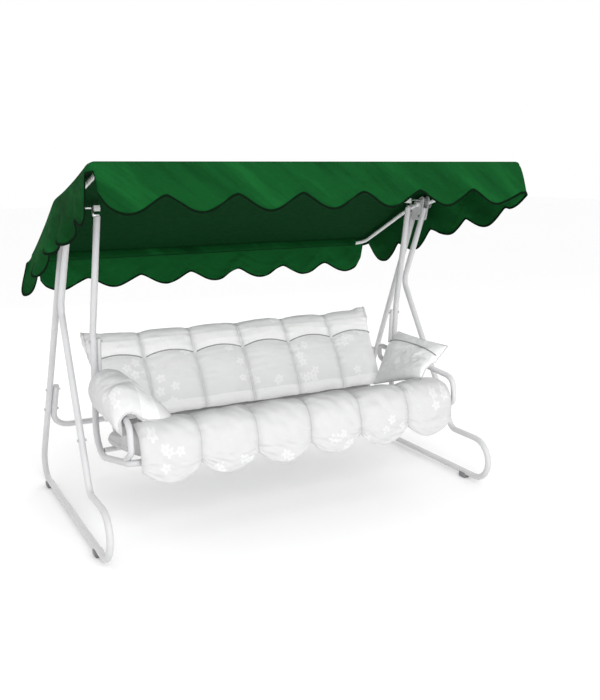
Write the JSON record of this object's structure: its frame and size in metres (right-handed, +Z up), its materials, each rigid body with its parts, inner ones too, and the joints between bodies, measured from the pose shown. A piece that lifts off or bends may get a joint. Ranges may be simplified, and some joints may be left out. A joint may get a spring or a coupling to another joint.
{
  "type": "canopy swing bench",
  "caption": "Garden swing bench for three: tufted seat hung on two arms from bent-tube side frames, under a tilting scalloped fabric canopy.",
  "frame": {"origin": "on the ground, under the middle of the bench's overall width and depth", "axes": "+Z up; the sitter faces -Y; X runs along the seat, +X to the right seen from the front"},
  "size_m": [2.18, 1.3602, 1.694],
  "materials": {
    "frame_paint": "satin light grey powder coat",
    "white_paint": "satin white powder coat",
    "zinc": "bright zinc plate",
    "white_plastic": "moulded, matt",
    "grey_plastic": "moulded, matt",
    "canopy_fabric": "woven polyester, bound edges",
    "cushion_fabric": "printed cotton, tufted and piped",
    "seat_mesh": "coated mesh, laced to the tubes"
  },
  "bodies": {
    "frame": {"left_foot_loop": "frame_paint", "left_front_leg": "frame_paint", "left_rear_leg": "frame_paint", "left_apex_outer_plate": "frame_paint", "left_apex_inner_plate": "frame_paint", "left_front_glide": "grey_plastic", "left_rear_glide": "grey_plastic", "right_foot_loop": "frame_paint", "right_front_leg": "frame_paint", "right_rear_leg": "frame_paint", "right_apex_outer_plate": "frame_paint", "right_apex_inner_plate": "frame_paint", "right_front_glide": "grey_plastic", "right_rear_glide": "grey_plastic", "rear_crossbar": "frame_paint", "left_lower_crossbar_bolt": "zinc", "left_upper_crossbar_bolt": "zinc", "left_leg_joint_bolt": "zinc", "left_front_apex_bolt": "zinc", "left_rear_apex_bolt": "zinc", "right_lower_crossbar_bolt": "zinc", "right_upper_crossbar_bolt": "zinc", "right_leg_joint_bolt": "zinc", "right_front_apex_bolt": "zinc", "right_rear_apex_bolt": "zinc", "left_hanger_pin": "zinc", "right_hanger_pin": "zinc", "left_canopy_bolt": "zinc", "right_canopy_bolt": "zinc"},
    "swing": {"left_bearing_block": "white_plastic", "left_hanger_hook": "zinc", "left_hanger_arm": "frame_paint", "left_arm_stay": "frame_paint", "left_stay_bolt": "zinc", "left_armrest": "frame_paint", "right_bearing_block": "white_plastic", "right_hanger_hook": "zinc", "right_hanger_arm": "frame_paint", "right_arm_stay": "frame_paint", "right_stay_bolt": "zinc", "right_armrest": "frame_paint", "seat_front_tube": "frame_paint", "seat_rear_tube": "frame_paint", "seat_mesh": "seat_mesh", "backrest_frame": "frame_paint", "backrest_mesh": "seat_mesh", "seat_cushion": "cushion_fabric", "seat_cushion_flap": "cushion_fabric", "back_cushion": "cushion_fabric", "left_pillow": "cushion_fabric", "right_pillow": "cushion_fabric"},
    "canopy": {"canopy_front_tube": "white_paint", "canopy_rear_tube": "white_paint", "canopy_roof": "canopy_fabric", "canopy_front_valance": "canopy_fabric", "canopy_rear_valance": "canopy_fabric", "canopy_left_flap": "canopy_fabric", "canopy_right_flap": "canopy_fabric"},
    "left_knob": {"left_star_knob": "grey_plastic"},
    "right_knob": {"right_star_knob": "grey_plastic"}
  },
  "joints": [
    {"name": "seat_swing", "type": "hinge", "parent": "frame", "child": "swing", "pos_m": [0, -0.013, 1.492], "axis": [1, 0, 0], "range_deg": [-18, 14]},
    {"name": "canopy_tilt", "type": "hinge", "parent": "frame", "child": "canopy", "pos_m": [0, 0.022, 1.465], "axis": [1, 0, 0], "range_deg": [-8, 12]},
    {"name": "left_knob_turn", "type": "hinge", "parent": "frame", "child": "left_knob", "pos_m": [-1.0245, 0.022, 1.465], "axis": [-1, 0, 0], "range_deg": [0, 360]},
    {"name": "right_knob_turn", "type": "hinge", "parent": "frame", "child": "right_knob", "pos_m": [1.0245, 0.022, 1.465], "axis": [1, 0, 0], "range_deg": [0, 360]}
  ]
}
